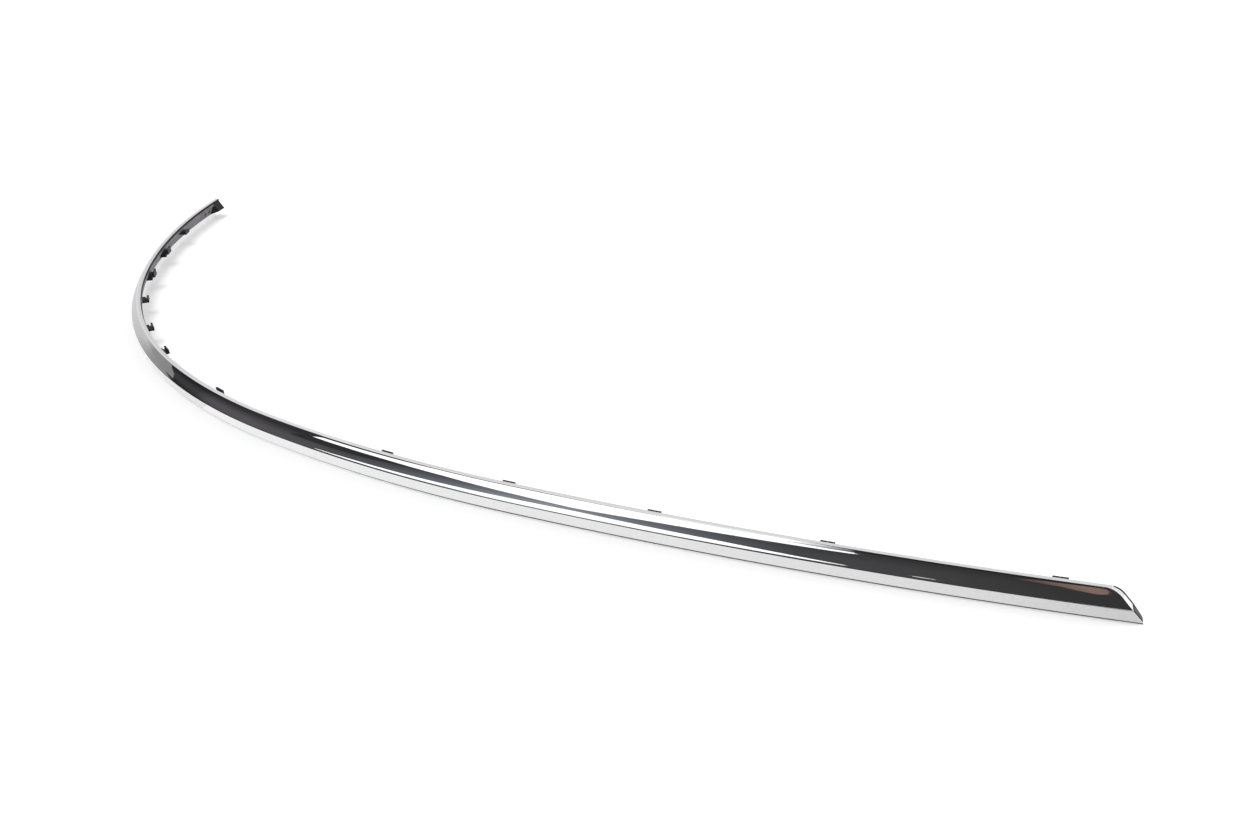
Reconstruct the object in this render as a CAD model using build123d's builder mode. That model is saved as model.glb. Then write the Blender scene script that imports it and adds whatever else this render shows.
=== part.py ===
from build123d import *
import os
from math import cos, hypot, radians, sin, tan

os.makedirs("parts", exist_ok=True)

# Driving dimensions, in millimetres and degrees.

# Plan of the top back edge, from the pointed end round the bumper corner to the square end.
front_radius = 3180.0
front_turn = 7.4
shoulder_radius = 1080.0
shoulder_turn = 11.0
corner_entry_radius = 495.0
corner_entry_turn = 15.2
corner_radius = 385.0
corner_turn = 32.9
side_radius = 495.0
side_turn = 23.5

# Section of the bright moulding: out is measured from the top back edge, up from the floor.
trim_height = 20.4
ledge_depth = 3.3
ledge_fall = 0.4
ridge_out = 10.0
ridge_height = 10.5
foot_out = 8.6
face_crown_height = 0.4
trim_wall = 2.0
ledge_edge_radius = 0.5
ridge_edge_radius = 0.8
foot_edge_radius = 0.4

# Slanted, closed end of the moulding.
slant_angle = 46.0
slant_corner_radius = 15.5
slant_corner_rise = 0.05
slant_tip_height = 1.0
end_back_out = 4.9

# Carrier rail nested in the open back.
carrier_wall = 1.6
carrier_clearance = 0.3
carrier_foot_height = 4.6
carrier_foot_land = 0.6
carrier_rim_proud = 0.6
carrier_rim_height = 2.0
carrier_web_in = 0.8
carrier_end_gap = 3.0
carrier_block_gap = 0.3
web_slot_from_end = [26.5, 18.5]
web_slot_length = 3.4
web_slot_height = 3.4

# Snap clips on the back of the carrier, by their distance along the top back edge.
clip_stations = [49.0, 190.0, 305.0, 411.0, 511.0, 690.0, 790.0, 844.0, 909.0, 970.0, 1029.0, 1084.0]
clip_width = 9.5
clip_reach = 6.0
clip_rim_gap = 0.3
clip_column_height = 2.7
clip_floor_wall = 1.3
clip_prong_rise = 0.7
clip_prong_wall = 1.4
clip_slot = 1.8
clip_barb = 0.4
clip_barb_height = 1.0
clip_split = 1.0
clip_clearance = 0.3

# Two clips on the side stretch have a higher prong and stand on a pair of legs.
tall_clip_numbers = [10, 11]
tall_clip_rise = 2.0
tall_clip_leg = 3.0
tall_clip_leg_width = 3.0

# Block in the channel at the square end: its wedge stands out of the open back.
block_length = 12.0
block_nose_reach = 5.0
block_nose_height = 9.0
block_nose_land = 0.8
block_clearance = 0.3

upright, level = (0.0, 1.0), (1.0, 0.0)
back_top = (0.0, trim_height - ledge_fall)
ledge_edge = (ledge_depth, trim_height)
ridge = (ridge_out, ridge_height)
foot = (foot_out, 0.0)


def meet(point_a, way_a, point_b, way_b):
    """Where two lines of the section cross, each given by a point and a direction."""
    (ax, ay), (ux, uy) = point_a, way_a
    (bx, by), (vx, vy) = point_b, way_b
    along = ((bx - ax) * vy - (by - ay) * vx) / (ux * vy - uy * vx)
    return (ax + ux * along, ay + uy * along)


def beside(point_a, point_b, distance):
    """The line from a to b, moved to its right by a distance."""
    across, rise = point_b[0] - point_a[0], point_b[1] - point_a[1]
    length = hypot(across, rise)
    moved = (point_a[0] + rise / length * distance, point_a[1] - across / length * distance)
    return moved, (across, rise)


def channel(depth):
    """The back, ledge, ridge and foot corners of a line at a depth behind the outer faces."""
    ledge_line = beside(back_top, ledge_edge, depth)
    face_line = beside(ledge_edge, ridge, depth)
    lip_line = beside(ridge, foot, depth)
    return (
        meet(*ledge_line, back_top, upright),
        meet(*ledge_line, *face_line),
        meet(*face_line, *lip_line),
        meet(*lip_line, foot, level),
    )


def face_middle():
    """The crown of the main face, midway between the ledge edge and the ridge."""
    (ax, ay), (bx, by) = ledge_edge, ridge
    lift = face_crown_height / hypot(bx - ax, by - ay)
    return ((ax + bx) / 2 + (ay - by) * lift, (ay + by) / 2 + (bx - ax) * lift)


route_arcs = [
    (front_radius, front_turn),
    (shoulder_radius, shoulder_turn),
    (corner_entry_radius, corner_entry_turn),
    (corner_radius, corner_turn),
    (side_radius, side_turn),
]
route_length = sum(radius * radians(turn) for radius, turn in route_arcs)


def cut_route(begin, end):
    """The radius and turn of each arc between two distances along the route."""
    pieces, passed = [], 0.0
    for radius, turn in route_arcs:
        length = radius * radians(turn)
        low, high = max(begin - passed, 0.0), min(end - passed, length)
        if high > low:
            pieces.append((radius, turn * (high - low) / length))
        passed += length
    return pieces


def route_place(distance, start):
    """The point and the heading, in degrees, at a distance along the route."""
    x, y, heading = start[0], start[1], 180.0
    for radius, turn in cut_route(0.0, distance):
        centre_x = x + radius * sin(radians(heading))
        centre_y = y - radius * cos(radians(heading))
        heading -= turn
        x = centre_x - radius * sin(radians(heading))
        y = centre_y + radius * cos(radians(heading))
    return x, y, heading


# The origin is under the middle of the whole plan.
end_x, end_y, end_heading = route_place(route_length, (0.0, 0.0))
start = (-(end_x - ridge_out) / 2, -(end_y - ridge_out) / 2)


def route_line(begin, end):
    """The stretch of the top back edge between two distances, seen from above."""
    x, y, heading = route_place(begin, start)
    spot, way = Vector(x, y), Vector(cos(radians(heading)), sin(radians(heading)))
    with BuildLine() as stretch:
        for radius, turn in cut_route(begin, end):
            arc = JernArc(start=spot, tangent=way, radius=radius, arc_size=-turn)
            spot, way = arc @ 1, arc % 1
    return stretch.line


def section_plane(distance):
    """An upright plane across the route: its X is outward and its Y is up."""
    x, y, heading = route_place(distance, start)
    way = Vector(cos(radians(heading)), sin(radians(heading)))
    return Plane(origin=(x, y, 0), x_dir=(-way.Y, way.X, 0), z_dir=way)


def round_section(sketch):
    """Rounds the three long outer edges of a section that has them as corners."""
    for corner, radius in (
        (ledge_edge, ledge_edge_radius),
        (ridge, ridge_edge_radius),
        (foot, foot_edge_radius),
    ):
        fillet(sketch.vertices().sort_by_distance(corner)[0], radius)


# The slanted end, seen from the side.
side_plane = Plane.XZ.offset(-start[1])
slant_run = (trim_height - slant_tip_height) / tan(radians(slant_angle))
slant_turn_in = slant_corner_radius * tan(radians(slant_angle / 2))
slant_wall_shift = trim_wall / sin(radians(slant_angle))
slant_span = slant_run + slant_turn_in + slant_wall_shift
end_cut_reach = 3 * trim_height


def beyond_slant(shift):
    """The side view of everything beyond the slant, moved back along the trim."""
    top = trim_height + slant_corner_rise
    tip = Vector(start[0] - shift, slant_tip_height)
    slope = Vector(-cos(radians(slant_angle)), sin(radians(slant_angle)))
    corner = tip + slope * ((top - slant_tip_height) / slope.Y)
    low = tip - slope * trim_height
    turn_in, turn_out = corner - slope * slant_turn_in, corner - Vector(slant_turn_in, 0)
    far = start[0] + end_cut_reach
    with BuildSketch(side_plane) as beyond:
        with BuildLine():
            Line(low, turn_in)
            JernArc(start=turn_in, tangent=slope, radius=slant_corner_radius, arc_size=slant_angle)
            Polyline(turn_out, turn_out + Vector(0, trim_height), (far, top + trim_height), (far, low.Y), low)
        make_face()
    return beyond.sketch


# End wall: the filled section, kept only where it lies within one wall of the slant.
with BuildPart() as end_wall:
    with BuildSketch(section_plane(0)) as filled_section:
        with BuildLine():
            Line(back_top, ledge_edge)
            ThreePointArc(ledge_edge, face_middle(), ridge)
            Polyline(ridge, foot, (end_back_out, 0), back_top)
        make_face()
        round_section(filled_section)
    sweep(path=route_line(0, slant_span + trim_wall))
    extrude(beyond_slant(slant_wall_shift), amount=end_cut_reach, both=True, mode=Mode.INTERSECT)

# Bright moulding: an open-backed shell swept round the corner, closed at its slanted end.
channel_back, channel_ledge, channel_ridge, channel_foot = channel(trim_wall)
with BuildPart() as chrome_trim:
    with BuildSketch(section_plane(0)) as shell_section:
        with BuildLine():
            Line(back_top, ledge_edge)
            ThreePointArc(ledge_edge, face_middle(), ridge)
            Polyline(ridge, foot, channel_foot, channel_ridge, channel_ledge, channel_back, back_top)
        make_face()
        round_section(shell_section)
    sweep(path=route_line(0, route_length))
    add(end_wall.part)
    extrude(beyond_slant(0), amount=end_cut_reach, both=True, mode=Mode.SUBTRACT)

chrome_trim.part.label = "chrome_trim"
export_step(chrome_trim.part, "parts/chrome_trim.step")

# Carrier rail: a rim under the ledge, a sloping web and a foot against the inside of the lip.
seat_back, seat_ledge, seat_ridge, seat_foot = channel(trim_wall + carrier_clearance)
seat_lip = (seat_ridge, (seat_foot[0] - seat_ridge[0], seat_foot[1] - seat_ridge[1]))
seat_face = (seat_ledge, (seat_ridge[0] - seat_ledge[0], seat_ridge[1] - seat_ledge[1]))
seat_top = (seat_back, (seat_ledge[0] - seat_back[0], seat_ledge[1] - seat_back[1]))
rim_top = meet(*seat_top, (-carrier_rim_proud, 0), upright)
rim_low = (rim_top[0], rim_top[1] - carrier_rim_height)
web_top = (carrier_web_in, rim_low[1])
lip_land = meet(*seat_lip, (0, carrier_foot_height), level)
web_foot = (lip_land[0] - carrier_foot_land, carrier_foot_height)
web_front = beside(web_top, web_foot, -carrier_wall)
flange_low = (0, seat_ledge[1] - carrier_wall)
web_middle = ((web_top[0] + web_foot[0]) / 2, (web_top[1] + web_foot[1]) / 2)
web_slot_cut = 4 * carrier_wall
carrier_begin = slant_span + carrier_end_gap
carrier_end = route_length - block_length - carrier_block_gap

with BuildPart() as carrier_strip:
    with BuildSketch(section_plane(carrier_begin)):
        with BuildLine():
            Polyline(
                rim_low,
                rim_top,
                seat_ledge,
                meet(*seat_face, flange_low, level),
                meet(*web_front, flange_low, level),
                meet(*web_front, *seat_lip),
                lip_land,
                web_foot,
                web_top,
                close=True,
            )
        make_face()
    sweep(path=route_line(carrier_begin, carrier_end))
    for from_end in web_slot_from_end:
        slot_begin = route_length - from_end - web_slot_length / 2
        with BuildSketch(section_plane(slot_begin)):
            with Locations(web_middle):
                Rectangle(web_slot_cut, web_slot_height)
        sweep(path=route_line(slot_begin, slot_begin + web_slot_length), mode=Mode.SUBTRACT)

carrier_strip.part.label = "carrier_strip"
export_step(carrier_strip.part, "parts/carrier_strip.step")

# Snap clips: a column on the web, a floor and a barbed prong that is split down the middle.
clip_seat = beside(web_top, web_foot, clip_clearance)
column_top = rim_low[1] - clip_rim_gap
clip_low = column_top - clip_column_height
floor_top = clip_low + clip_floor_wall
prong_top = column_top + clip_prong_rise
prong_out = -clip_reach + clip_prong_wall
column_in = prong_out + clip_slot


def snap_clip(station, rise, leg):
    """One clip, centred at a distance along the route, with its prong raised and with legs of a length."""
    begin, end = station - clip_width / 2, station + clip_width / 2
    tip = prong_top + rise
    with BuildPart() as clip:
        with BuildSketch(section_plane(begin)):
            with BuildLine():
                Polyline(
                    meet(*clip_seat, (0, clip_low), level),
                    meet(*clip_seat, (0, column_top), level),
                    (column_in, column_top),
                    (column_in, floor_top),
                    (prong_out, floor_top),
                    (prong_out, tip - clip_barb_height),
                    (prong_out + clip_barb, tip - clip_barb_height / 2),
                    (prong_out, tip),
                    (-clip_reach, tip),
                    (-clip_reach, clip_low),
                    close=True,
                )
            make_face()
        sweep(path=route_line(begin, end))
        with BuildSketch(section_plane(station - clip_split / 2)):
            with Locations((column_in, floor_top)):
                Rectangle(2 * clip_reach, 2 * clip_reach, align=(Align.MAX, Align.MIN))
        sweep(path=route_line(station - clip_split / 2, station + clip_split / 2), mode=Mode.SUBTRACT)
        if leg > 0:
            for leg_begin in (begin, end - tall_clip_leg_width):
                with BuildSketch(section_plane(leg_begin)):
                    with BuildLine():
                        Polyline(
                            meet(*clip_seat, (0, clip_low), level),
                            meet(*clip_seat, (0, clip_low - leg), level),
                            (column_in, clip_low - leg),
                            (column_in, clip_low),
                            close=True,
                        )
                    make_face()
                sweep(path=route_line(leg_begin, leg_begin + tall_clip_leg_width))
    return clip.part


for number, station in enumerate(clip_stations, start=1):
    tall = number in tall_clip_numbers
    clip_part = snap_clip(station, tall_clip_rise if tall else 0.0, tall_clip_leg if tall else 0.0)
    clip_part.label = f"snap_clip_{number:02d}"
    export_step(clip_part, f"parts/{clip_part.label}.step")

# End block: sits in the channel at the square end, flush with the moulding's cut, over the lip's lower part.
block_back, block_ledge, block_ridge, block_foot = channel(trim_wall + block_clearance)
block_begin = route_length - block_length
block_lip = (block_ridge, (block_foot[0] - block_ridge[0], block_foot[1] - block_ridge[1]))
block_lip_low = meet(*block_lip, (0, carrier_foot_height), level)

with BuildPart() as end_block:
    with BuildSketch(section_plane(block_begin)):
        with BuildLine():
            Polyline(
                block_back,
                block_ledge,
                block_ridge,
                block_lip_low,
                (block_lip_low[0] - carrier_foot_land, carrier_foot_height),
                (-block_nose_reach, block_nose_height),
                (-block_nose_reach, block_nose_height + block_nose_land),
                close=True,
            )
        make_face()
    sweep(path=route_line(block_begin, route_length))

end_block.part.label = "end_block"
export_step(end_block.part, "parts/end_block.step")
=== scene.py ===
import math

import bmesh
import bpy
import numpy as np
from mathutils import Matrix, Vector


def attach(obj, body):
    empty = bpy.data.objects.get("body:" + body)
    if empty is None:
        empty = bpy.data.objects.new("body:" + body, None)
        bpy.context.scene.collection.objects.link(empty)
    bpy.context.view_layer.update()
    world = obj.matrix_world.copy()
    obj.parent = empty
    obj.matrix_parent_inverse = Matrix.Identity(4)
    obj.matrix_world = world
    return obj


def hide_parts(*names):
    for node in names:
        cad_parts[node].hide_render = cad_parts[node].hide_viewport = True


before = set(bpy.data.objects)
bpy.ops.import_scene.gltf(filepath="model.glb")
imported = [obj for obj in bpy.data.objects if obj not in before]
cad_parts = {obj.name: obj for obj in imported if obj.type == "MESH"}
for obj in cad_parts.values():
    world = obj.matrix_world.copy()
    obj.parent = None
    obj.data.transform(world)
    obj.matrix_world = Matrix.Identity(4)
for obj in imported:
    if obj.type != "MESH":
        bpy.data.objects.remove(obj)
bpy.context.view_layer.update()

# The trim's sizes are in millimetres, and so are those of the two aprons, which follow it on the floor.
# The rest of the studio is in metres.
MM = 0.001

# Plan of the trim's top back edge, from the pointed end: each arc's radius and its turn in degrees.
PLAN_ARCS = ((3180.0, 7.4), (1080.0, 11.0), (495.0, 15.2), (385.0, 32.9), (495.0, 23.5))

# Section of the moulding: out from the top back edge, up from the floor.
TRIM_HEIGHT = 20.4
BACK_TOP = (0.0, 20.0)
LEDGE_EDGE = (3.3, TRIM_HEIGHT)
RIDGE = (10.0, 10.5)
FOOT = (8.6, 0.0)
FACE_CROWN = 0.4
TRIM_WALL = 2.0
LEDGE_EDGE_RADIUS = 1.2
RIDGE_RADIUS = 1.1
FOOT_RADIUS = 0.4

# How finely the section is divided. The flats have points at these distances from where they start.
FACE_STEPS = 18
ROUND_STEPS = 8
LEDGE_POINTS = (0.0, 0.6, 1.2, 1.8, 2.4)
LIP_POINTS = (1.5, 3.0, 5.0, 7.0, 8.6, 9.5)

# Slanted, closed end.
SLANT = math.radians(46.0)
SLANT_CORNER = 15.5
SLANT_CORNER_RISE = 0.05
SLANT_TOP = TRIM_HEIGHT + SLANT_CORNER_RISE
SLANT_TIP_HEIGHT = 1.0
END_BACK_OUT = 3.2
WALL_SHIFT = TRIM_WALL / math.sin(SLANT)

# The closed end is turned a little to the front. For each height: how far its front edge and its back edge
# are moved back.
END_FRONT_MOVE = ((0.0, 0.2), (1.0, 0.8), (9.6, 0.4), (10.5, -0.3), (14.0, 0.3), (18.5, 0.7), (20.4, 0.7))
END_BACK_MOVE = ((0.0, 0.0), (4.0, -0.6), (10.0, -1.4), (18.0, -1.2), (20.4, -1.0))

# Columns of the closed end, from its front edge (0) to its back edge (1). Its back share is near-black, and
# so is the end of the lip: a dark lozenge with a raised pad in it, which keeps clear of the lozenge's edge.
# The pad's lighter colour is a painted highlight.
END_COLUMNS = (0.0, 0.05, 0.12, 0.3, 0.5, 0.68, 0.78, 0.88, 0.95, 1.0)
END_BLACKISH_SHARE = 0.68
LOZENGE_LOW, LOZENGE_HIGH = 0.4, 11.0
LOZENGE_FRONT_SHARE = 0.04
PAD_CLEAR_LOW, PAD_CLEAR_HIGH = 0.8, 1.0
PAD_SHARES = (0.3, 0.7)
PAD_RISE = 0.3
PAD_RISE_SHARES = (0.25, 0.8)

# Rings of points along the trim, and the length over which they lean with the slanted end.
RING_STEP = 5.0
FIRST_RING_CLEAR = 1.0
LEAN_LENGTH = 70.0

# Carrier rail.
CARRIER_GAP = 0.3
CARRIER_WALL = 1.6
CARRIER_FOOT_HEIGHT = 4.6
CARRIER_FOOT_LAND = 0.6
CARRIER_RIM_PROUD = 0.6
CARRIER_RIM_HEIGHT = 2.0
CARRIER_WEB_IN = 0.8
CARRIER_END_GAP = 3.0
CARRIER_BEVEL = 0.25
WEB_SLOTS_FROM_END = (26.5, 18.5)
WEB_SLOT = 3.4
WEB_SLOT_CLEAR = 1.0

# Snap clips. The two tall ones have a pair of legs.
CLIP_STATIONS = (49, 190, 305, 411, 511, 690, 790, 844, 909, 970, 1029, 1084)
CLIP_WIDTH = 9.5
CLIP_REACH = 6.0
CLIP_GAP = 0.3
CLIP_COLUMN = 2.7
CLIP_FLOOR = 1.3
CLIP_PRONG_RISE = 1.2
CLIP_PRONG = 1.4
CLIP_SLOT = 1.8
CLIP_BARB = 0.4
CLIP_BARB_HEIGHT = 1.0
CLIP_SPLIT = 0.2
CLIP_BEVEL = 0.18
TALL_CLIPS = (10, 11)
TALL_RISE = 2.0
TALL_LEG = 3.0
TALL_LEG_WIDTH = 3.0

# End block.
BLOCK_LENGTH = 12.0
BLOCK_NOSE_REACH = 5.0
BLOCK_NOSE_HEIGHT = 9.0
BLOCK_NOSE_LAND = 0.8
BLOCK_GAP = 0.3
BLOCK_BEVEL = 0.4

# Edges that turn by more than these angles, in degrees, stay sharp in the shading, or get a bevel.
SMOOTH_ANGLE = 30.0
MOULDING_SMOOTH_ANGLE = 24.0
BEVEL_ANGLE = 30.0
BEVEL_SEGMENTS = 2


def place_along(distance, start=(0.0, 0.0)):
    """Where the top back edge is at a distance from the pointed end, and its heading."""
    x, y = start
    heading, left = math.pi, distance
    for radius, turn in PLAN_ARCS:
        length = radius * math.radians(turn)
        part = min(left, length) if (radius, turn) != PLAN_ARCS[-1] else left
        cx, cy = x + radius * math.sin(heading), y - radius * math.cos(heading)
        heading -= part / radius
        x, y = cx - radius * math.sin(heading), cy + radius * math.cos(heading)
        left -= part
        if left <= 0:
            break
    return x, y, heading


# The route starts where the middle of the trim's box comes to the origin.
ROUTE = sum(radius * math.radians(turn) for radius, turn in PLAN_ARCS)
far_x, far_y, _ = place_along(ROUTE)
START = ((RIDGE[0] - far_x) / 2, (RIDGE[0] - far_y) / 2)


def spot(distance, out, up):
    """A point of the object in metres, from a distance along the trim and a point of the section."""
    x, y, heading = place_along(max(distance, 0.0), START)
    return Vector((x - math.sin(heading) * out, y + math.cos(heading) * out, up)) * MM


def meet(point_a, way_a, point_b, way_b):
    """Where two lines of the section cross."""
    (ax, ay), (ux, uy), (bx, by), (vx, vy) = point_a, way_a, point_b, way_b
    along = ((bx - ax) * vy - (by - ay) * vx) / (ux * vy - uy * vx)
    return (ax + ux * along, ay + uy * along)


def way(a, b):
    """The direction from a to b."""
    return (b[0] - a[0], b[1] - a[1])


def beside(point_a, point_b, distance):
    """The line from a to b, moved to its right."""
    dx, dy = way(point_a, point_b)
    length = math.hypot(dx, dy)
    return (point_a[0] + dy / length * distance, point_a[1] - dx / length * distance), (dx, dy)


def channel(depth):
    """The back, ledge, ridge and foot corners at a depth behind the outer faces."""
    ledge = beside(BACK_TOP, LEDGE_EDGE, depth)
    face = beside(LEDGE_EDGE, RIDGE, depth)
    lip = beside(RIDGE, FOOT, depth)
    return meet(*ledge, BACK_TOP, (0, 1)), meet(*ledge, *face), meet(*face, *lip), meet(*lip, FOOT, (1, 0))


def towards(a, b, distance):
    """The point at a distance from a on the way to b."""
    dx, dy = way(a, b)
    length = math.hypot(dx, dy)
    return (a[0] + dx * distance / length, a[1] + dy * distance / length)


def rounded_corner(before, corner, after, radius):
    """Points of the arc that rounds a corner which turns to the right."""
    heading_in = math.atan2(corner[1] - before[1], corner[0] - before[0])
    heading_out = math.atan2(after[1] - corner[1], after[0] - corner[0])
    turn = (heading_in - heading_out) % (2 * math.pi)
    first = towards(corner, before, radius * math.tan(turn / 2))
    cx, cy = first[0] + math.sin(heading_in) * radius, first[1] - math.cos(heading_in) * radius
    points = []
    for i in range(ROUND_STEPS + 1):
        heading = heading_in - turn * i / ROUND_STEPS
        points.append((cx - math.sin(heading) * radius, cy + math.cos(heading) * radius))
    return points


def crowned_face():
    """Points of the main face's shallow arc, from the ledge's edge to the ridge."""
    (ax, ay), (bx, by) = LEDGE_EDGE, RIDGE
    chord = math.hypot(bx - ax, by - ay)
    radius = chord * chord / (8 * FACE_CROWN) + FACE_CROWN / 2
    half = math.asin(chord / 2 / radius)
    nx, ny = (ay - by) / chord, (bx - ax) / chord
    cx, cy = (ax + bx) / 2 - nx * (radius - FACE_CROWN), (ay + by) / 2 - ny * (radius - FACE_CROWN)
    middle = math.atan2(ny, nx)
    points = []
    for i in range(FACE_STEPS + 1):
        angle = middle + half - 2 * half * i / FACE_STEPS
        points.append((cx + radius * math.cos(angle), cy + radius * math.sin(angle)))
    return points


def outer_skin():
    """The section from the top back edge over the ledge, face and lip to the foot.

    The face's first two points and its last one make room for the rounded edges beside it.
    """
    face = crowned_face()
    ledge_line = [towards(BACK_TOP, LEDGE_EDGE, d) for d in LEDGE_POINTS]
    ledge_arc = rounded_corner(BACK_TOP, LEDGE_EDGE, face[2], LEDGE_EDGE_RADIUS)
    ridge_arc = rounded_corner(face[-3], RIDGE, FOOT, RIDGE_RADIUS)
    lip_line = [towards(RIDGE, FOOT, d) for d in LIP_POINTS]
    foot_arc = rounded_corner(RIDGE, FOOT, (0, 0), FOOT_RADIUS)
    return ledge_line + ledge_arc + face[2:-1] + ridge_arc + lip_line + foot_arc


OUTER = outer_skin()
INNER = channel(TRIM_WALL)
INNER_BACK, _, _, INNER_FOOT = INNER

# The points of the section at which the closed end has a level row, from the top down. Its last row meets
# the inner foot between two columns, at this share of the way from front to back.
END_ROWS = [k for k, (out, up) in enumerate(OUTER) if up <= BACK_TOP[1] and out > LEDGE_EDGE[0]]
INNER_FOOT_SHARE = (OUTER[-1][0] - INNER_FOOT[0]) / (OUTER[-1][0] - END_BACK_OUT)


def read_off(stops, at):
    """The value at a place, on straight lines between stops of (place, value)."""
    return float(np.interp(at, *zip(*stops)))


def slant_x(up):
    """How far the slanted end has been cut back at a height, from the pointed end."""
    run = (SLANT_TOP - SLANT_TIP_HEIGHT) / math.tan(SLANT)
    turn_in = SLANT_CORNER * math.tan(SLANT / 2)
    round_low = SLANT_TOP - turn_in * math.sin(SLANT)
    if up > round_low:
        drop = SLANT_TOP - up
        return run + turn_in - math.sqrt(max(2 * SLANT_CORNER * drop - drop * drop, 0.0))
    return max((up - SLANT_TIP_HEIGHT) / math.tan(SLANT), 0.0)


def end_back(up):
    """How far out the back edge of the closed end is at a height."""
    return max(END_BACK_OUT * (1 - up / INNER_BACK[1]), 0.0)


def end_front(up):
    """How far out the front edge of the closed end is at a height."""
    if up > RIDGE[1]:
        return LEDGE_EDGE[0] + (RIDGE[0] - LEDGE_EDGE[0]) * (LEDGE_EDGE[1] - up) / (LEDGE_EDGE[1] - RIDGE[1])
    return FOOT[0] + (RIDGE[0] - FOOT[0]) * up / RIDGE[1]


def cut_at(up, out):
    """How far behind the tip the closed end is at a point of it."""
    front, back = read_off(END_FRONT_MOVE, up), read_off(END_BACK_MOVE, up)
    share = (out - end_back(up)) / (end_front(up) - end_back(up))
    return max(slant_x(up) + back + (front - back) * min(max(share, 0.0), 1.0), 0.0)


def station_at(x_back, out):
    """The distance along the first arc at which a point of the section is x_back behind the tip."""
    radius = PLAN_ARCS[0][0] + out
    return PLAN_ARCS[0][0] * math.asin(x_back / radius)


def add_object(name, data):
    """A new object in the scene."""
    made = bpy.data.objects.new(name, data)
    bpy.context.scene.collection.objects.link(made)
    return made


class Piece:
    """A mesh in the making: shared points, faces and the finish of each face."""

    def __init__(self, name):
        self.name, self.points, self.faces, self.finishes = name, [], [], []

    def point(self, distance, out, up):
        """Add a point, at a distance along the trim and a place of the section. Gives back its number."""
        self.points.append(spot(distance, out, up))
        return len(self.points) - 1

    def face(self, *corners, finish=0):
        """Add a face between the points with these numbers."""
        self.faces.append(corners)
        self.finishes.append(finish)

    def skin(self, lines, finish, first=0):
        """Add the strips of surface between neighbouring lines of points."""
        for a, b in zip(lines, lines[1:]):
            for i in range(first, len(a) - 1):
                self.face(a[i], b[i], b[i + 1], a[i + 1], finish=finish)

    def build(self, finishes, smooth=SMOOTH_ANGLE, bevel=None):
        """Make the object, with its normals outwards and its materials on."""
        mesh = bpy.data.meshes.new(self.name)
        mesh.from_pydata(self.points, [], self.faces)
        work = bmesh.new()
        work.from_mesh(mesh)
        bmesh.ops.recalc_face_normals(work, faces=work.faces)
        work.to_mesh(mesh)
        work.free()
        for material in finishes:
            mesh.materials.append(material)
        mesh.polygons.foreach_set("material_index", self.finishes)
        mesh.polygons.foreach_set("use_smooth", [True] * len(mesh.polygons))
        mesh.set_sharp_from_angle(angle=math.radians(smooth))
        made = add_object(self.name, mesh)
        if bevel:
            edge = made.modifiers.new("soft edges", "BEVEL")
            edge.width, edge.segments, edge.limit_method = bevel * MM, BEVEL_SEGMENTS, "ANGLE"
            edge.angle_limit = math.radians(BEVEL_ANGLE)
            edge.harden_normals = True
        return made


class Wire:
    """A socket of a material. Sums and products of wires add the Math nodes for them."""

    def __init__(self, maker, socket):
        self.maker, self.socket = maker, socket

    def _math(self, operation, first, second):
        return self.maker.node("ShaderNodeMath", {"operation": operation}, {0: first, 1: second})

    def __add__(self, other):
        return self._math("ADD", self, other)

    def __radd__(self, other):
        return self._math("ADD", other, self)

    def __sub__(self, other):
        return self._math("SUBTRACT", self, other)

    def __rsub__(self, other):
        return self._math("SUBTRACT", other, self)

    def __mul__(self, other):
        return self._math("MULTIPLY", self, other)

    def __rmul__(self, other):
        return self._math("MULTIPLY", other, self)


def find_socket(sockets, key):
    """The socket with a number, or the one in use with a name."""
    if isinstance(key, int):
        return sockets[key]
    return next(s for s in sockets if key in (s.identifier, s.name) and s.enabled)


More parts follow.
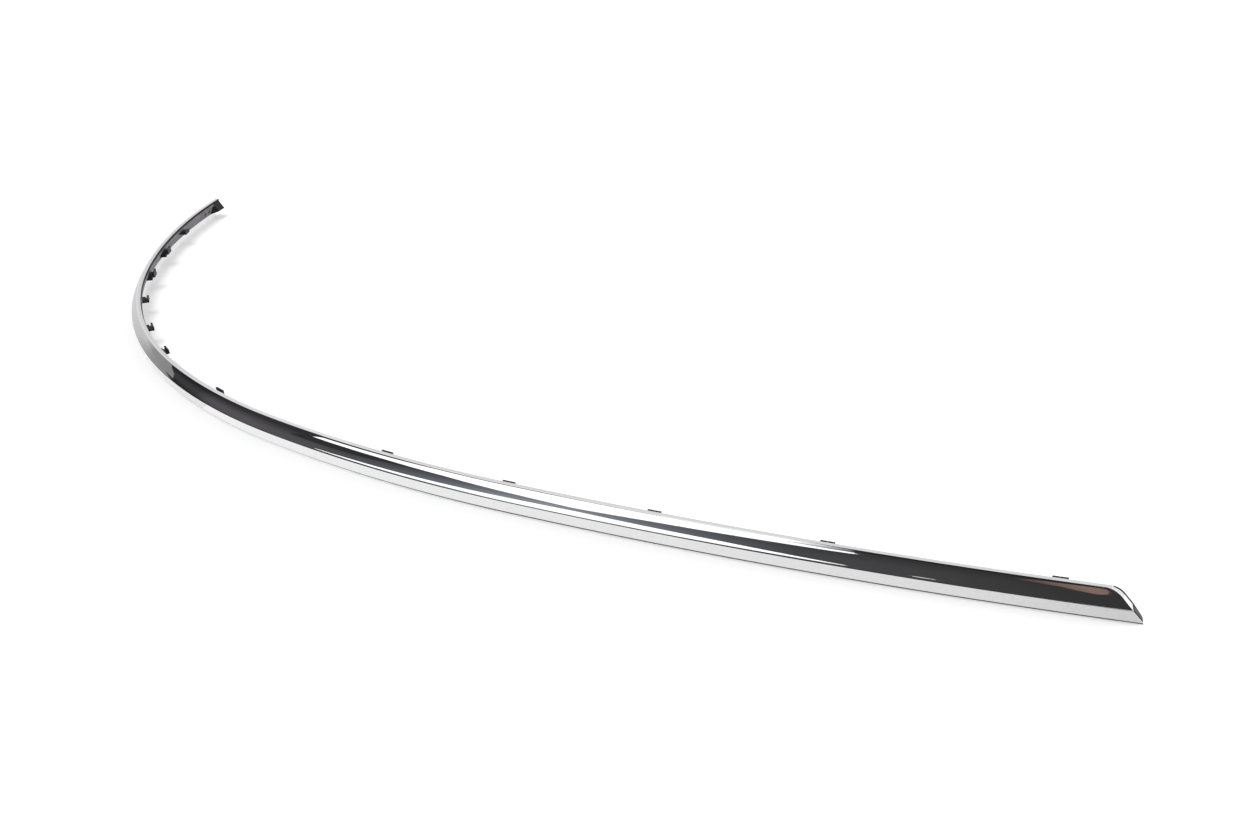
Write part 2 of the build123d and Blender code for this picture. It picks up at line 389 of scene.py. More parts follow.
class Finish:
    """The nodes of a new material, or of the world that is handed in, in the making."""

    def __init__(self, name, world=None):
        self.owner = world or bpy.data.materials.new(name)
        self.owner.use_nodes = True
        self.tree = self.owner.node_tree
        self.tree.nodes.clear()

    def node(self, kind, settings=None, inputs=None, out=0):
        """A node with its settings and what goes into its sockets. Gives back its output, if it has one."""
        made = self.tree.nodes.new(kind)
        for key, value in (settings or {}).items():
            if key == "stops":
                self.set_stops(made.color_ramp.elements, value)
            else:
                setattr(made, key, value)
        for key, value in (inputs or {}).items():
            socket = find_socket(made.inputs, key)
            if isinstance(value, Wire):
                self.tree.links.new(value.socket, socket)
            else:
                socket.default_value = value
        return Wire(self, find_socket(made.outputs, out)) if len(made.outputs) else None

    def set_stops(self, elements, stops):
        """Set a ramp's stops. A new stop starts in the middle and is then moved."""
        while len(elements) < len(stops):
            elements.new(0.5)
        for element, (position, colour) in zip(elements, stops):
            element.position, element.color = position, colour

    def place(self):
        """A point's place in the object."""
        return self.node("ShaderNodeTexCoord", out="Object")

    def along(self, axis):
        """A point's place along X, Y or Z."""
        return self.node("ShaderNodeSeparateXYZ", {}, {"Vector": self.place()}, out=axis)

    def noise(self, scale, detail, roughness):
        return self.node("ShaderNodeTexNoise", {}, {
            "Vector": self.place(), "Scale": scale, "Detail": detail, "Roughness": roughness})

    def between(self, value, low, high, to_low=0.0, to_high=1.0):
        """How far a value is on the way from low to high."""
        return self.node("ShaderNodeMapRange", {}, {
            "Value": value, "From Min": low, "From Max": high, "To Min": to_low, "To Max": to_high})

    def mix(self, factor, first, second):
        return self.node("ShaderNodeMix", {"data_type": "RGBA"}, {
            "Factor_Float": factor, "A_Color": first, "B_Color": second}, out="Result_Color")

    def ramp(self, share, stops):
        """The colour at a share of the way from the first stop to the last. A stop is (place, colour)."""
        begin, end = stops[0][0], stops[-1][0]
        placed = [((at - begin) / (end - begin), opaque(colour)) for at, colour in stops]
        return self.node("ShaderNodeValToRGB", {"stops": placed}, {"Fac": share}, out="Color")

    def bump(self, height, strength, distance):
        return self.node("ShaderNodeBump", {}, {"Height": height, "Strength": strength, "Distance": distance})

    def glow(self, colour, strength=1.0):
        return self.node("ShaderNodeEmission", {}, {"Color": colour, "Strength": strength})

    def surface(self, shader, output="ShaderNodeOutputMaterial"):
        """Lead the shader to the surface, and give back the material or the world."""
        self.node(output, {}, {"Surface": shader})
        return self.owner


def opaque(colour):
    """A colour with its alpha, from its three levels or from one level of grey."""
    return (*colour, 1.0) if isinstance(colour, tuple) else (colour, colour, colour, 1.0)


def plating():
    """Bright plating: almost a mirror, with the slight waviness and haze of plated plastic."""
    f = Finish("bright plating")
    polished, hazed = 0.02, 0.035
    waves = f.noise(scale=55.0, detail=2.0, roughness=0.4)
    haze = f.between(f.noise(scale=420.0, detail=3.0, roughness=0.6), low=0.35, high=0.75)
    return f.surface(f.node("ShaderNodeBsdfPrincipled", {}, {
        "Base Color": f.mix(haze, opaque(0.81), opaque((0.765, 0.765, 0.77))),
        "Metallic": 1.0,
        "Roughness": polished + hazed * haze,
        "Normal": f.bump(waves, strength=0.25, distance=0.00005)}))


def channel_plating():
    """The inside of the channel: plated but not polished, so it spreads the light."""
    f = Finish("satin plating")
    satin, hazed = 0.3, 0.1
    haze = f.between(f.noise(scale=240.0, detail=3.0, roughness=0.6), low=0.3, high=0.7)
    return f.surface(f.node("ShaderNodeBsdfPrincipled", {}, {
        "Base Color": f.mix(haze, opaque((0.96, 0.963, 0.97)), opaque((0.92, 0.923, 0.93))),
        "Metallic": 0.35,
        "Roughness": satin + hazed * haze}))


def painted_foot_shadow():
    """The lip's foot: plating, with a painted contact shadow that makes it a dark, duller line towards the
    pointed end.
    """
    f = Finish("painted shadow on the lip's foot")
    polished, shadow_dulling = 0.15, 0.3
    # The painted shadow is full from X = 0.04 m to the pointed end and gone by X = -0.14 m.
    shadowed = f.between(f.along("X"), low=-0.14, high=0.04)
    grain = f.between(f.noise(scale=300.0, detail=3.0, roughness=0.6), low=0.3, high=0.7)
    # Colour of the painted shadow, mottled.
    near_black = f.mix(grain, opaque((0.03, 0.03, 0.032)), opaque((0.07, 0.07, 0.075)))
    return f.surface(f.node("ShaderNodeBsdfPrincipled", {}, {
        "Base Color": f.mix(shadowed, opaque(0.8), near_black),
        "Metallic": 1 - shadowed,
        "Roughness": polished + shadow_dulling * shadowed}))


def moulded_plastic(name, base, pale, roughness, grain, patches, shine):
    """Moulded plastic with a fine grain, and paler, duller patches like clouds."""
    f = Finish(name)
    dull = 0.12
    clouds = f.between(f.noise(scale=patches, detail=4.0, roughness=0.6), low=0.38, high=0.68)
    speck = f.noise(scale=2600.0, detail=2.0, roughness=0.5)
    return f.surface(f.node("ShaderNodeBsdfPrincipled", {}, {
        "Base Color": f.mix(clouds, opaque(base), opaque(pale)),
        "Roughness": roughness + dull * clouds,
        "Specular IOR Level": shine,
        "Normal": f.bump(speck, strength=grain, distance=0.0002)}))


chrome_finish = plating()
# The lip's foot carries a painted contact shadow.
foot_shadow_finish = painted_foot_shadow()
channel_finish = channel_plating()
# Near-black finish of the moulding's back edge, the back share of the closed end and the lozenge.
near_black_finish = moulded_plastic(
    "near-black back edge", base=(0.014, 0.014, 0.015), pale=(0.030, 0.029, 0.031),
    roughness=0.5, grain=0.2, patches=90.0, shine=0.08)
# The pad is raised; its lighter colour is a painted highlight on the dark lozenge.
pad_highlight_finish = moulded_plastic(
    "painted highlight on the pad", base=(0.075, 0.066, 0.078), pale=(0.105, 0.096, 0.108),
    roughness=0.5, grain=0.2, patches=200.0, shine=0.1)
rail_finish = moulded_plastic(
    "rail plastic", base=(0.110, 0.104, 0.115), pale=(0.195, 0.185, 0.203),
    roughness=0.5, grain=0.3, patches=110.0, shine=0.4)
clip_finish = moulded_plastic(
    "clip plastic", base=(0.010, 0.010, 0.011), pale=(0.030, 0.030, 0.032),
    roughness=0.42, grain=0.25, patches=160.0, shine=0.2)

# The moulding's finishes, by the numbers that its faces carry.
MOULDING_FINISHES = [chrome_finish, near_black_finish, channel_finish, foot_shadow_finish, pad_highlight_finish]
BRIGHT, BLACKISH, INSIDE, FOOT_EDGE, PAD = range(5)


def trim_line(piece, out, up):
    """One line of points along the moulding: at the closed end, behind its wall and on to the square end."""
    cut = station_at(cut_at(up, out), out)
    wall = station_at(slant_x(up) + WALL_SHIFT, out)
    count = int(ROUTE / RING_STEP)
    plain = [ROUTE * i / count for i in range(count + 1)]
    rings = [d + max(1 - d / LEAN_LENGTH, 0.0) * cut for d in plain if d > WALL_SHIFT + FIRST_RING_CLEAR]
    return [piece.point(d, out, up) for d in (cut, wall, *rings)]


def in_pad(low, high):
    """Whether heights from low to high are all in the pad."""
    return LOZENGE_LOW + PAD_CLEAR_LOW < low and high < LOZENGE_HIGH - PAD_CLEAR_HIGH


def end_finish(share, low, high):
    """The finish of a cell of the closed end, from its share from front to back and its heights."""
    if in_pad(low, high) and PAD_SHARES[0] < share < PAD_SHARES[1]:
        return PAD
    if low > LOZENGE_LOW and high < LOZENGE_HIGH:
        return BLACKISH if share > LOZENGE_FRONT_SHARE else BRIGHT
    return BLACKISH if share > END_BLACKISH_SHARE and high > LOZENGE_HIGH else BRIGHT


def end_grid(piece, outer, behind):
    """Level rows of points on the closed end, and the points of its wall's inside behind the lower ones."""
    grid, wall = [], []
    for n, k in enumerate(END_ROWS):
        out, up = OUTER[k]
        back = end_back(up)
        row = [outer[k][0]]
        for share in END_COLUMNS[1:-1]:
            u = out + (back - out) * share
            risen = in_pad(up, up) and PAD_RISE_SHARES[0] < share < PAD_RISE_SHARES[1]
            cut = max(cut_at(up, u) - (PAD_RISE if risen else 0.0), 0.0)
            row.append(piece.point(station_at(cut, u), u, up))
        if n < len(behind):
            row.append(behind[n][0])
        else:
            row.append(piece.point(station_at(cut_at(up, back), back), back, up))
            wall.append(piece.point(station_at(slant_x(up) + WALL_SHIFT, back), back, up))
        grid.append(row)
    return grid, wall


def close_pointed_end(piece, outer, inner, behind):
    """The closed end with its lozenge and pad, and the wall behind it."""
    back_low, ledge_in, ridge_in, foot_in = inner
    grid, wall = end_grid(piece, outer, behind)
    piece.face(*[line[0] for line in outer[:END_ROWS[0]]], *grid[0])
    for n, (above, below) in enumerate(zip(grid, grid[1:])):
        low, high = OUTER[END_ROWS[n + 1]][1], OUTER[END_ROWS[n]][1]
        for j in range(len(above) - 1):
            corners = [above[j], below[j], below[j + 1], above[j + 1]]
            if n == len(grid) - 2 and END_COLUMNS[j] < INNER_FOOT_SHARE < END_COLUMNS[j + 1]:
                corners.insert(2, foot_in[0])
            if n == len(behind) - 1 and j == len(above) - 2:
                corners.insert(3, back_low[0])
            share = (END_COLUMNS[j] + END_COLUMNS[j + 1]) / 2
            piece.face(*corners, finish=end_finish(share, low, high))
    rear = [row[-1] for row in grid[len(behind):]]
    piece.face(back_low[0], rear[0], wall[0], back_low[1], finish=INSIDE)
    for a, b, c, d in zip(rear, rear[1:], wall, wall[1:]):
        piece.face(a, b, d, c, finish=INSIDE)
    lip_cells = [p for p, share in zip(grid[-1], END_COLUMNS) if share < INNER_FOOT_SHARE]
    wall_cells = [p for p, share in zip(grid[-1], END_COLUMNS) if share > INNER_FOOT_SHARE]
    piece.face(*lip_cells, foot_in[0], foot_in[1], outer[-1][1], finish=BRIGHT)
    piece.face(foot_in[0], *wall_cells, wall[-1], foot_in[1], finish=INSIDE)
    piece.face(back_low[1], *wall, foot_in[1], ridge_in[1], ledge_in[1], finish=INSIDE)


def dress_moulding():
    """The bright moulding: outer skin, channel, closed slanted end and plain square end."""
    piece = Piece("chrome_moulding")
    outer = [trim_line(piece, *p) for p in OUTER]
    inner = [trim_line(piece, *p) for p in INNER]
    back_low, _, _, foot_in = inner
    behind = [trim_line(piece, 0.0, OUTER[k][1]) for k in END_ROWS if OUTER[k][1] > INNER_BACK[1]]
    piece.skin(outer[:-ROUND_STEPS - 1], BRIGHT)
    piece.skin(outer[-ROUND_STEPS - 2:], FOOT_EDGE)
    piece.skin([outer[0], *behind, back_low], BLACKISH)
    piece.skin([outer[-1], foot_in], BRIGHT, first=1)
    piece.skin(inner, INSIDE, first=1)
    close_pointed_end(piece, outer, inner, behind)
    piece.face(*[line[-1] for line in (*outer, *reversed(inner), *reversed(behind))])
    made = piece.build(MOULDING_FINISHES, smooth=MOULDING_SMOOTH_ANGLE)
    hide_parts("chrome_trim")
    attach(made, "root")


def swept(name, section, begin, end, finish, node, bevel, holes=(), back_edge=None, front_edge=None):
    """A closed piece of constant section between two distances, with square holes through its web.

    holes lists where each hole begins and ends. back_edge and front_edge are the edges of the section that
    the holes cut.
    """
    piece = Piece(name)
    count = max(int((end - begin) / RING_STEP), 1)
    marks = {begin, end} | {begin + (end - begin) * i / count for i in range(1, count)}
    for low, high in holes:
        marks = {m for m in marks if not low - WEB_SLOT_CLEAR < m < high + WEB_SLOT_CLEAR} | {low, high}
    marks = sorted(marks)
    lines = [[piece.point(m, *p) for m in marks] for p in section]
    for i in range(len(marks) - 1):
        cut = any(low <= marks[i] and marks[i + 1] <= high for low, high in holes)
        for k in range(len(section)):
            if cut and k in (back_edge, front_edge):
                continue
            a, b = lines[k], lines[(k + 1) % len(section)]
            piece.face(a[i], b[i], b[i + 1], a[i + 1])
        if cut:
            back_a, back_b = lines[back_edge], lines[back_edge + 1]
            front_a, front_b = lines[front_edge], lines[front_edge + 1]
            piece.face(back_a[i], front_b[i], front_b[i + 1], back_a[i + 1])
            piece.face(back_b[i], front_a[i], front_a[i + 1], back_b[i + 1])
            for j in (i, i + 1):
                piece.face(back_a[j], back_b[j], front_a[j], front_b[j])
    piece.face(*[line[0] for line in lines])
    piece.face(*[line[-1] for line in lines])
    made = piece.build([finish], bevel=bevel)
    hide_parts(node)
    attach(made, "root")


def carrier_section():
    """Corners of the rail's section, with its slots' corners on both faces of the web.

    Three corners that the clips sit on are given once more by themselves.
    """
    back, ledge, ridge, foot = channel(TRIM_WALL + CARRIER_GAP)
    face, lip = (ledge, way(ledge, ridge)), (ridge, way(ridge, foot))
    rim_top = meet(back, way(back, ledge), (-CARRIER_RIM_PROUD, 0), (0, 1))
    rim_low = (rim_top[0], rim_top[1] - CARRIER_RIM_HEIGHT)
    web_top = (CARRIER_WEB_IN, rim_low[1])
    land = meet(*lip, (0, CARRIER_FOOT_HEIGHT), (1, 0))
    web_foot = (land[0] - CARRIER_FOOT_LAND, CARRIER_FOOT_HEIGHT)
    web_front = beside(web_top, web_foot, -CARRIER_WALL)
    web_back = (web_top, way(web_top, web_foot))
    flange = (0, ledge[1] - CARRIER_WALL)
    middle = (web_top[1] + web_foot[1]) / 2
    high, low = (0, middle + WEB_SLOT / 2), (0, middle - WEB_SLOT / 2)
    corners = [
        rim_low, rim_top, ledge, meet(*face, flange, (1, 0)), meet(*web_front, flange, (1, 0)),
        meet(*web_front, high, (1, 0)), meet(*web_front, low, (1, 0)), meet(*web_front, *lip), land, web_foot,
        meet(*web_back, low, (1, 0)), meet(*web_back, high, (1, 0)), web_top,
    ]
    return corners, rim_low, web_top, web_foot


CARRIER, RIM_LOW, WEB_TOP, WEB_FOOT = carrier_section()

# The edges of the rail's section that its slots cut, each by the number of its first corner.
CARRIER_FRONT_SLOT, CARRIER_BACK_SLOT = 5, 10


def dress_carrier():
    """The dark rail in the channel, from behind the end wall to the end block."""
    begin = slant_x(SLANT_TOP) + WALL_SHIFT + CARRIER_END_GAP
    end = ROUTE - BLOCK_LENGTH - CARRIER_GAP
    holes = [(ROUTE - d - WEB_SLOT / 2, ROUTE - d + WEB_SLOT / 2) for d in WEB_SLOTS_FROM_END]
    swept("carrier_rail", CARRIER, begin, end, rail_finish, "carrier_strip", CARRIER_BEVEL,
          holes, CARRIER_BACK_SLOT, CARRIER_FRONT_SLOT)


def dress_block():
    """The block in the square end, with its wedge nose out of the open back."""
    back, ledge, ridge, foot = channel(TRIM_WALL + BLOCK_GAP)
    low = meet(ridge, way(ridge, foot), (0, CARRIER_FOOT_HEIGHT), (1, 0))
    nose_low = (-BLOCK_NOSE_REACH, BLOCK_NOSE_HEIGHT)
    nose_top = (-BLOCK_NOSE_REACH, BLOCK_NOSE_HEIGHT + BLOCK_NOSE_LAND)
    low_back = (low[0] - CARRIER_FOOT_LAND, CARRIER_FOOT_HEIGHT)
    section = [nose_low, nose_top, back, ledge, ridge, low, low_back]
    swept("square_end_block", section, ROUTE - BLOCK_LENGTH, ROUTE, clip_finish, "end_block",
          BLOCK_BEVEL)


def dress_clip(number, station):
    """A snap clip: a column on the web, a floor and a barbed prong split down the middle."""
    piece = Piece(f"clip_{number:02d}")
    tall = number in TALL_CLIPS
    seat = beside(WEB_TOP, WEB_FOOT, CLIP_GAP)
    top = RIM_LOW[1] - CLIP_GAP
    low = top - CLIP_COLUMN
    foot = low - TALL_LEG
    floor_top = low + CLIP_FLOOR
    tip = top + CLIP_PRONG_RISE + (TALL_RISE if tall else 0.0)
    barb_low, barb_middle = tip - CLIP_BARB_HEIGHT, tip - CLIP_BARB_HEIGHT / 2
    prong = CLIP_PRONG - CLIP_REACH
    column_in = prong + CLIP_SLOT
    half, split = CLIP_WIDTH / 2, CLIP_SPLIT / 2
    inner_leg = half - TALL_LEG_WIDTH
    marks = [station + d for d in (-half, -inner_leg, -split, split, inner_leg, half)]
    last = len(marks) - 2
    middle = last // 2

    def line(out, up):
        return [piece.point(m, out, up) for m in marks]

    def on_seat(up):
        return line(*meet(*seat, (0, up), (1, 0)))

    def strips(rows, i):
        for a, b in zip(rows, rows[1:]):
            piece.face(a[i], b[i], b[i + 1], a[i + 1])

    column = [
        line(column_in, low), on_seat(low), on_seat(top), line(column_in, top), line(column_in, floor_top)]
    floor = [
        column[4], line(prong, floor_top), line(-CLIP_REACH, floor_top), line(-CLIP_REACH, low), column[0]]
    prong_rows = [
        floor[1], line(prong, barb_low), line(prong + CLIP_BARB, barb_middle), line(prong, tip),
        line(-CLIP_REACH, tip), floor[2]]
    legs = [column[0], line(column_in, foot), on_seat(foot), column[1]] if tall else []
    for i in range(last + 1):
        strips(column[1:], i)
        strips(floor[:2], i)
        strips(floor[2:], i)
        strips(floor[1:3] if i == middle else prong_rows, i)
        strips(legs if tall and i in (0, last) else column[:2], i)
    for i in (0, last + 1):
        piece.face(*[row[i] for row in column])
        piece.face(*[row[i] for row in floor])
    for i in (0, middle, middle + 1, last + 1):
        piece.face(*[row[i] for row in prong_rows])
    if tall:
        for i in (0, 1, last, last + 1):
            piece.face(*[row[i] for row in legs])
    made = piece.build([clip_finish], bevel=CLIP_BEVEL)
    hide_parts(f"snap_clip_{number:02d}")
    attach(made, "root")


dress_moulding()
dress_carrier()
dress_block()
for number, station in enumerate(CLIP_STATIONS, start=1):
    dress_clip(number, station)


# Studio: a pale floor, a white sky, two lamps, and glowing cards that show only in reflections. Most cards
# stand on an upright drum round the trim, in layers. A bearing on it is in degrees from -Y towards +X.
DRUM_CENTRE = (0.0, -0.15)
SHADE_LAYER = 1.99
CARD_LAYER = 2.0
PATCH_LAYER = 2.01
DARK_LAYER = 2.02
GREY_LAYER = 2.03
DRUM_STEPS = 60
CEILING_LEFT, CEILING_FRONT, CEILING_RIGHT, CEILING_BACK = 0.24, -2.2, 3.2, 3.2
CEILING_HEIGHT = 5.9
APRON_LIFT = 0.4
APRON_STEPS = 140
LIP_APRON_FAR = 19.6
FLOOR_SIZE = 9.0
PLAIN_FLOOR_END, PALE_FLOOR_START = 1.6, 3.6
SKY_LIGHT = 0.58

# A glow that fades away from a height is full up to this share of its spread.
FULL_GLOW_SHARE = 0.2


def glowing(name, colour, strength=1.0):
    """A glow of one colour."""
    f = Finish(name)
    return f.surface(f.glow(opaque(colour), strength))


def bearing_ramp(name, stops, heights=None, spreads=None, fade=0.0):
    """A glow whose colour goes with the bearing.

    heights and spreads are given at the first and the last stop. The glow is full round its height, and at
    the spread above and below it has lost the share fade, or gained it where fade is below 0.
    """
    f = Finish(name)
    bearing = f.node("ShaderNodeMath", {"operation": "ARCTAN2"}, {
        0: f.along("X") - DRUM_CENTRE[0], 1: DRUM_CENTRE[1] - f.along("Y")})
    share = f.between(bearing, math.radians(stops[0][0]), math.radians(stops[-1][0]))
    colour = f.ramp(share, stops)
    if heights:
        height = heights[0] + share * (heights[1] - heights[0])
        spread = spreads[0] + share * (spreads[1] - spreads[0])
        away = f.node("ShaderNodeMath", {"operation": "ABSOLUTE"}, {0: f.along("Z") - height})
        level = f.between(away, spread * FULL_GLOW_SHARE, spread, 1.0, 1.0 - fade)
        colour = f.node("ShaderNodeVectorMath", {"operation": "SCALE"}, {"Vector": colour, "Scale": level})
    return f.surface(f.glow(colour))


def length_ramp(name, stops):
    """A glow whose colour goes with the place along X, in metres."""
    f = Finish(name)
    colour = f.ramp(f.between(f.along("X"), stops[0][0], stops[-1][0]), stops)
    return f.surface(f.glow(colour))


def stage_mesh(name, points, faces, material):
    """A thing of the studio, which isn't part of the object."""
    mesh = bpy.data.meshes.new(name)
    mesh.from_pydata(points, [], faces)
    mesh.materials.append(material)
    made = add_object(name, mesh)
    return made


def mirror_card(name, points, faces, material):
    """A card that shows only in reflections: the camera and the floor don't see it."""
    card = stage_mesh(name, points, faces, material)
    card.visible_camera = False
    card.visible_diffuse = False
    card.visible_shadow = False
    card.visible_transmission = False


def strip_faces(steps):
    """The faces of a strip whose points come in pairs."""
    return [(2 * i, 2 * i + 1, 2 * i + 3, 2 * i + 2) for i in range(steps)]


def level_sheet(left, front, right, back, height):
    """The corners and the one face of a level sheet."""
    corners = [(left, front, height), (right, front, height), (right, back, height), (left, back, height)]
    return corners, [(0, 1, 2, 3)]


def curved_card(name, radius, material, low, high):
    """A card on the drum. low and high list (bearing, height) along its lower and upper edges."""
    begin, end = low[0][0], low[-1][0]
    points = []
    for i in range(DRUM_STEPS + 1):
        bearing = begin + (end - begin) * i / DRUM_STEPS
        x = DRUM_CENTRE[0] + radius * math.sin(math.radians(bearing))
        y = DRUM_CENTRE[1] - radius * math.cos(math.radians(bearing))
        points += [(x, y, read_off(edge, bearing)) for edge in (low, high)]
    mirror_card(name, points, strip_faces(DRUM_STEPS), material)


def apron_card(name, material, begin, end, near, far):
    """A card just over the floor outside the trim, from begin to end along it. near lists (distance, out)."""
    points = []
    for i in range(APRON_STEPS + 1):
        distance = begin + (end - begin) * i / APRON_STEPS
        points += [spot(distance, out, APRON_LIFT) for out in (read_off(near, distance), far)]
    mirror_card(name, points, strip_faces(APRON_STEPS), material)


white = glowing("white card", 1.0, 1.5)
pale = glowing("pale card", (0.84, 0.84, 0.85))
black = glowing("black card", (0.035, 0.035, 0.036))
dark = bearing_ramp("dark screen", (
    (-94, (0.046, 0.045, 0.049)), (-84, (0.056, 0.055, 0.059)), (-80, (0.100, 0.095, 0.104)),
    (-70, (0.114, 0.108, 0.118)), (-61, (0.098, 0.096, 0.101)), (-54, (0.088, 0.088, 0.093)),
    (-46, (0.110, 0.118, 0.132)), (-36, (0.185, 0.200, 0.230)), (-24, (0.350, 0.375, 0.415)),
    (-14, (0.190, 0.206, 0.236)), (-6, (0.112, 0.119, 0.132)), (2, (0.074, 0.075, 0.079)),
    (8, (0.070, 0.070, 0.073)), (16, (0.062, 0.062, 0.064)), (26, (0.044, 0.044, 0.045)),
    (48, (0.036, 0.036, 0.037))), heights=(0.17, 0.94), spreads=(0.20, 1.67), fade=0.65)
grey = bearing_ramp("grey screen", (
    (-152, 0.97), (-146.5, 0.90), (-143.5, 0.86), (-141, 0.79), (-137, 0.79), (-134.5, 0.85), (-132.5, 1.05),
    (-130, 1.08), (-127, (0.95, 0.95, 0.96)), (-119, (0.89, 0.89, 0.90)), (-114, (0.80, 0.80, 0.81)),
    (-111, (0.70, 0.70, 0.71)), (-107, (0.66, 0.66, 0.67)), (-102, (0.34, 0.335, 0.34)),
    (-93, (0.29, 0.285, 0.29))))
fading = bearing_ramp("fading card", (
    (-3, 1.5), (0, 0.95), (1.7, 0.60), (3.3, 0.42), (4.8, 0.30), (7.1, 0.14), (7.8, 0.06)),
    heights=(1.63, 1.63), spreads=(0.09, 0.09), fade=-0.9)
warm = bearing_ramp("warm card", (
    (23.6, (0.10, 0.065, 0.055)), (27, (0.19, 0.125, 0.105)), (30, (0.27, 0.18, 0.15)),
    (32.4, (0.24, 0.155, 0.13))))
apron = bearing_ramp("apron", (
    (-152, 0.95), (-128, (0.74, 0.74, 0.75)), (-111, (0.70, 0.70, 0.71)), (-106, (0.62, 0.62, 0.63)),
    (-101, (0.36, 0.355, 0.36)), (-95, (0.30, 0.295, 0.30)), (-93.7, (0.030, 0.027, 0.026)),
    (10, (0.030, 0.024, 0.020)), (26, (0.050, 0.034, 0.022)), (48, (0.050, 0.034, 0.022))))
near_apron = length_ramp("near apron", (
    (-0.3, 1.08), (-0.14, 1.06), (0.01, 1.03), (0.16, 0.98), (0.36, 0.88), (0.42, 0.79), (0.45, 0.75)))

curved_card("dark_screen", DARK_LAYER, dark,
            low=[(-91.3, 0.0), (48, 0.0)],
            high=[(-91.3, 6.0), (-34, 6.0), (-22, 2.9), (4, 2.9), (10, 6.0), (48, 6.0)])
curved_card("dark_screen_edge", DARK_LAYER, dark,
            low=[(-95.2, 0.376), (-93.6, 0.265), (-91.7, 0.155), (-91.3, 0.0)],
            high=[(-95.2, 6.0), (-91.3, 6.0)])
curved_card("grey_screen", GREY_LAYER, grey, low=[(-152, 0.0), (-91, 0.0)], high=[(-152, 2.4), (-91, 2.4)])
curved_card("rear_screen", GREY_LAYER, pale, low=[(130, 0.25), (208, 0.25)], high=[(130, 1.6), (208, 1.6)])
mirror_card("dark_ceiling",
            *level_sheet(CEILING_LEFT, CEILING_FRONT, CEILING_RIGHT, CEILING_BACK, CEILING_HEIGHT), black)
curved_card("upper_card", CARD_LAYER, white,
            low=[(-61, 0.88), (-49, 1.05), (-40, 1.10), (-29, 1.05), (-22, 0.985), (-14, 1.17), (-3, 1.33),
                 (7.7, 1.46)],
            high=[(-61, 1.04), (-51, 1.32), (-39, 1.9), (-20, 2.6), (7.7, 2.6)])
curved_card("ledge_shade", SHADE_LAYER, fading,
            low=[(-3.0, 1.56), (7.8, 1.56)], high=[(-3.0, 2.2), (7.8, 2.2)])
curved_card("dark_patch", PATCH_LAYER, black,
            low=[(-62, 0.58), (-57, 0.62), (-51, 0.74), (-46, 0.98)],
            high=[(-62, 1.06), (-54, 1.12), (-46, 1.12)])
curved_card("lower_card", CARD_LAYER, white,
            low=[(-56, 0.31), (-36, 0.43), (-20, 0.45), (-6, 0.50), (6.5, 0.54)],
            high=[(-56, 0.33), (-51, 0.41), (-36, 0.60), (-21, 0.785), (-6, 0.715), (6.5, 0.57)])
curved_card("sliver_card", CARD_LAYER, pale,
            low=[(12.6, 0.540), (14.6, 0.550)], high=[(12.6, 0.580), (14.6, 0.575)])
curved_card("warm_card", CARD_LAYER, warm,
            low=[(23.4, 1.36), (25.9, 1.26), (27.2, 1.20), (28.2, 1.08), (29.4, 1.0), (30.6, 1.08),
                 (31.4, 1.22), (32.2, 1.4)],
            high=[(23.4, 1.37), (26.0, 1.47), (32.2, 1.52)])
apron_card("front_apron", apron,
           begin=-10.0, end=1450.0, near=[(600, LIP_APRON_FAR), (900, 15.0)], far=1640.0)
apron_card("lip_apron", near_apron, begin=-10.0, end=700.0, near=[(0, 9.4)], far=LIP_APRON_FAR)


def bright_rays(f):
    """1 for what the camera, a mirror or glass sees, 0 for what only gives light."""
    seen = f.node("ShaderNodeLightPath", out="Is Camera Ray")
    mirrored = f.node("ShaderNodeLightPath", out="Is Glossy Ray")
    through = f.node("ShaderNodeLightPath", out="Is Transmission Ray")
    either = f.node("ShaderNodeMath", {"operation": "MAXIMUM"}, {0: mirrored, 1: through})
    return f.node("ShaderNodeMath", {"operation": "MAXIMUM"}, {0: seen, 1: either})


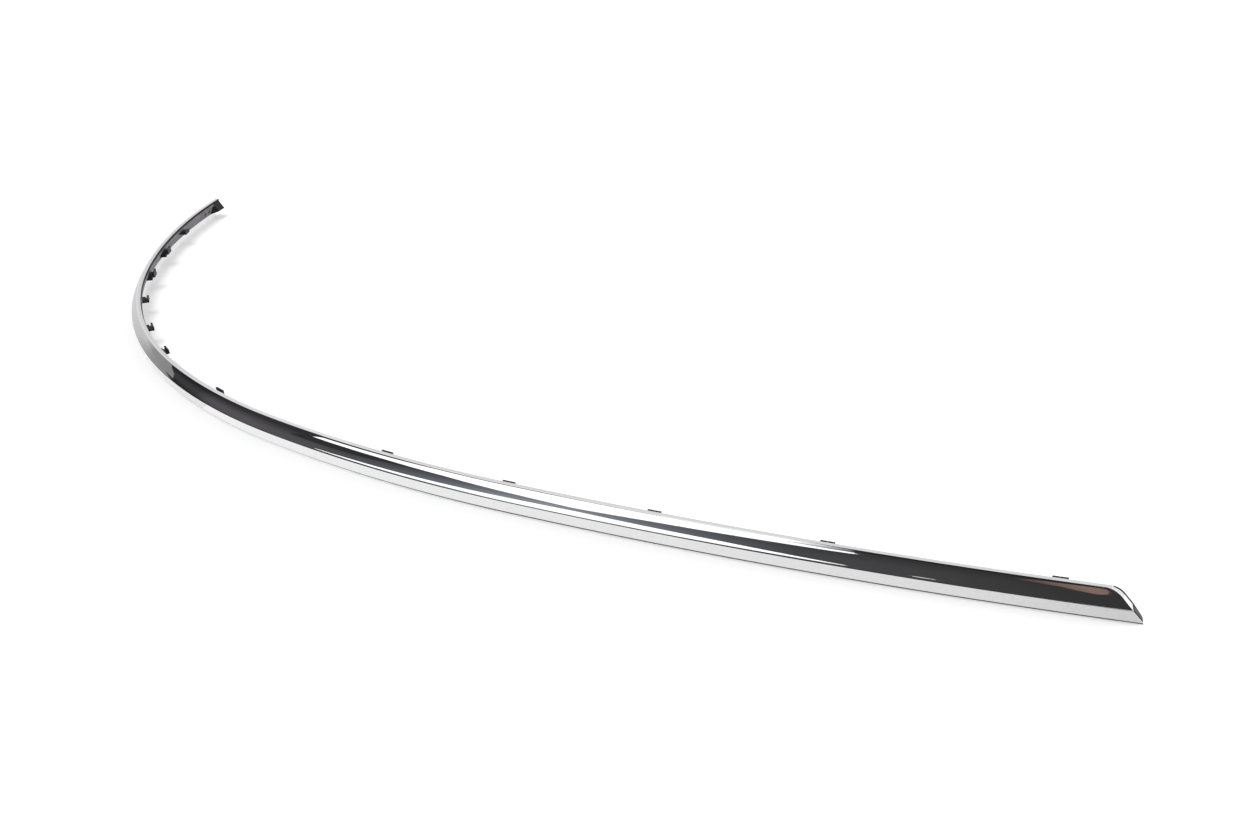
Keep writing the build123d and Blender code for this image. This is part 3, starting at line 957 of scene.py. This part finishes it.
def floor_finish():
    """A pale floor that takes the trim's shadow and looks paler far away from it."""
    f = Finish("studio floor")
    away = f.node("ShaderNodeVectorMath", {"operation": "LENGTH"}, {0: f.place()}, out="Value")
    level = f.mix(f.between(away, PLAIN_FLOOR_END, PALE_FLOOR_START), opaque(0.27), opaque(0.62))
    plain = f.node("ShaderNodeBsdfDiffuse", {}, {"Color": opaque((0.86, 0.86, 0.865))})
    both = f.node("ShaderNodeAddShader", {}, {0: plain, 1: f.glow(level)})
    return f.surface(f.node("ShaderNodeMixShader", {}, {0: bright_rays(f), 1: plain, 2: both}))


def white_sky():
    """A sky that looks white and gives less light than it shows."""
    world = bpy.data.worlds.new("studio")
    bpy.context.scene.world = world
    f = Finish("studio", world)
    lit = f.node("ShaderNodeBackground", {}, {"Color": opaque(1.0), "Strength": SKY_LIGHT})
    seen = f.node("ShaderNodeBackground", {}, {"Color": opaque(1.0), "Strength": 1.0})
    both = f.node("ShaderNodeMixShader", {}, {0: bright_rays(f), 1: lit, 2: seen})
    f.surface(both, "ShaderNodeOutputWorld")


def lamp(name, at, target, size, power):
    """A soft round lamp that no mirror shows."""
    data = bpy.data.lights.new(name, "AREA")
    data.shape, data.size, data.energy = "DISK", size, power
    made = add_object(name, data)
    made.location = at
    made.rotation_euler = (Vector(target) - Vector(at)).to_track_quat("-Z", "Y").to_euler()
    made.visible_glossy = False


stage_mesh("studio_floor", *level_sheet(-FLOOR_SIZE, -FLOOR_SIZE, FLOOR_SIZE, FLOOR_SIZE, 0), floor_finish())
white_sky()
lamp("key", at=(-3.2, -0.7, 8.6), target=(0.0, 0.0, 0.0), size=5.6, power=310.0)
lamp("fill", at=(1.9, 0.6, 0.7), target=(-0.4, 0.15, 0.0), size=1.0, power=26.0)

# The camera stands where the photograph was taken from.
CAMERA_PLACE = (0.2395, -0.7284, 0.4192)
CAMERA_TURN = (math.radians(57.415), 0.0, math.radians(11.645))
LENS = 27.97
SENSOR_WIDTH = 36.0
NEAREST, FARTHEST = 0.01, 60.0
camera_data = bpy.data.cameras.new("camera")
camera_data.lens, camera_data.sensor_width, camera_data.sensor_fit = LENS, SENSOR_WIDTH, "HORIZONTAL"
camera_data.clip_start, camera_data.clip_end = NEAREST, FARTHEST
camera = add_object("camera", camera_data)
camera.location, camera.rotation_euler = CAMERA_PLACE, CAMERA_TURN
bpy.context.scene.camera = camera
bpy.context.scene.view_settings.view_transform = "Standard"
